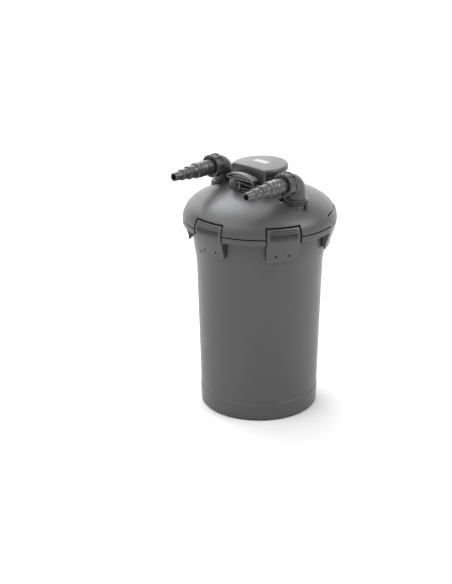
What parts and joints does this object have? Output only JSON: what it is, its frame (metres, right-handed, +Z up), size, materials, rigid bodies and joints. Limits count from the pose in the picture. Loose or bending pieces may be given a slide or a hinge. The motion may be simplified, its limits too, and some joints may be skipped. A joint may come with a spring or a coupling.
{
  "type": "pressurized pond filter",
  "caption": "Tall round canister filter with a latched domed lid, swivelling stepped hose tails, a lamp head and a pull handle that squeezes the foams inside.",
  "frame": {"origin": "centre of the canister's flat underside", "axes": "+Z up along the canister's axis; the hose tails and the pull handle face -Y; the hose elbows stand left (-X) and right (+X) of the lamp head"},
  "size_m": [0.38, 0.378, 0.63],
  "materials": {
    "shell_plastic": "satin moulded, slightly cool dark grey",
    "fitting_plastic": "satin moulded, darker grey",
    "dark_plastic": "fine-grained near black",
    "seal_rubber": "matt black",
    "stainless": "fine turned",
    "quartz": "clear polished",
    "lamp_glass": "frosted",
    "lamp_ceramic": "matt off-white",
    "circuit_board": "satin green",
    "foam_coarse": "open-cell, coarse pores",
    "foam_fine": "open-cell, fine pores"
  },
  "bodies": {
    "canister": {"container": "shell_plastic"},
    "latch_body_1": {"latch_1": "shell_plastic", "latch_pin_1": "stainless"},
    "latch_body_2": {"latch_2": "shell_plastic", "latch_pin_2": "stainless"},
    "latch_body_3": {"latch_3": "shell_plastic", "latch_pin_3": "stainless"},
    "latch_body_4": {"latch_4": "shell_plastic", "latch_pin_4": "stainless"},
    "latch_body_5": {"latch_5": "shell_plastic", "latch_pin_5": "stainless"},
    "latch_body_6": {"latch_6": "shell_plastic", "latch_pin_6": "stainless"},
    "lid_body": {"lid": "shell_plastic", "rim_seal": "seal_rubber", "port_collar_left": "fitting_plastic", "port_collar_right": "fitting_plastic", "collar_screw_left_1": "stainless", "collar_screw_left_2": "stainless", "collar_screw_left_3": "stainless", "collar_screw_right_1": "stainless", "collar_screw_right_2": "stainless", "collar_screw_right_3": "stainless", "handle_bracket": "fitting_plastic", "rod_gland_left": "dark_plastic", "rod_gland_right": "dark_plastic", "sleeve_seal": "seal_rubber", "top_grid": "dark_plastic", "inlet_pipe": "dark_plastic", "foam_1": "foam_coarse", "foam_2": "foam_coarse", "foam_3": "foam_fine", "foam_4": "foam_fine"},
    "pull_handle": {"handle_grip": "fitting_plastic", "pull_rod_left": "stainless", "pull_rod_right": "stainless", "bottom_plate": "dark_plastic"},
    "lamp_head": {"uvc_cap": "fitting_plastic", "uvc_base": "dark_plastic", "quartz_sleeve": "quartz", "uvc_lamp": "lamp_glass", "lamp_holder": "lamp_ceramic", "ballast_board": "circuit_board", "cable_gland": "dark_plastic", "mains_cable": "seal_rubber"},
    "left_elbow": {"elbow_left": "fitting_plastic", "elbow_seal_left": "seal_rubber", "hose_tail_left": "dark_plastic", "tail_seal_left": "seal_rubber"},
    "left_nut": {"union_nut_left": "dark_plastic"},
    "right_elbow": {"elbow_right": "fitting_plastic", "elbow_seal_right": "seal_rubber", "hose_tail_right": "dark_plastic", "tail_seal_right": "seal_rubber"},
    "right_nut": {"union_nut_right": "dark_plastic"}
  },
  "joints": [
    {"name": "lid_lift", "type": "slide", "parent": "canister", "child": "lid_body", "axis": [0, 0, 1], "range_m": [0, 0.12]},
    {"name": "latch_1_open", "type": "hinge", "parent": "canister", "child": "latch_body_1", "pos_m": [0, -0.1696, 0.43], "axis": [1, 0, 0], "range_deg": [0, 110]},
    {"name": "latch_2_open", "type": "hinge", "parent": "canister", "child": "latch_body_2", "pos_m": [0.14688, -0.0848, 0.43], "axis": [0.5, 0.866, 0], "range_deg": [0, 110]},
    {"name": "latch_3_open", "type": "hinge", "parent": "canister", "child": "latch_body_3", "pos_m": [0.14688, 0.0848, 0.43], "axis": [-0.5, 0.866, 0], "range_deg": [0, 110]},
    {"name": "latch_4_open", "type": "hinge", "parent": "canister", "child": "latch_body_4", "pos_m": [0, 0.1696, 0.43], "axis": [-1, 0, 0], "range_deg": [0, 110]},
    {"name": "latch_5_open", "type": "hinge", "parent": "canister", "child": "latch_body_5", "pos_m": [-0.14688, 0.0848, 0.43], "axis": [-0.5, -0.866, 0], "range_deg": [0, 110]},
    {"name": "latch_6_open", "type": "hinge", "parent": "canister", "child": "latch_body_6", "pos_m": [-0.14688, -0.0848, 0.43], "axis": [0.5, -0.866, 0], "range_deg": [0, 110]},
    {"name": "handle_pull", "type": "slide", "parent": "lid_body", "child": "pull_handle", "axis": [0, 0, 1], "range_m": [0, 0.11], "deforming": ["foam_1", "foam_2", "foam_3", "foam_4"]},
    {"name": "lamp_head_lift", "type": "slide", "parent": "lid_body", "child": "lamp_head", "axis": [0, 0, 1], "range_m": [0, 0.28]},
    {"name": "left_elbow_swivel", "type": "hinge", "parent": "lid_body", "child": "left_elbow", "pos_m": [-0.118, -0.003, 0.58], "axis": [0, 0, 1], "range_deg": [-205, 25]},
    {"name": "right_elbow_swivel", "type": "hinge", "parent": "lid_body", "child": "right_elbow", "pos_m": [0.118, -0.003, 0.58], "axis": [0, 0, 1], "range_deg": [-25, 205]},
    {"name": "left_nut_turn", "type": "hinge", "parent": "left_elbow", "child": "left_nut", "pos_m": [-0.118, -0.04, 0.603], "axis": [0, -1, 0], "continuous": true},
    {"name": "right_nut_turn", "type": "hinge", "parent": "right_elbow", "child": "right_nut", "pos_m": [0.118, -0.04, 0.603], "axis": [0, -1, 0], "continuous": true}
  ],
  "couplings": [
    {"joint": "latch_1_open", "follows": "lid_lift", "rad_per_m": 15.99},
    {"joint": "latch_2_open", "follows": "lid_lift", "rad_per_m": 15.99},
    {"joint": "latch_3_open", "follows": "lid_lift", "rad_per_m": 15.99},
    {"joint": "latch_4_open", "follows": "lid_lift", "rad_per_m": 15.99},
    {"joint": "latch_5_open", "follows": "lid_lift", "rad_per_m": 15.99},
    {"joint": "latch_6_open", "follows": "lid_lift", "rad_per_m": 15.99}
  ]
}
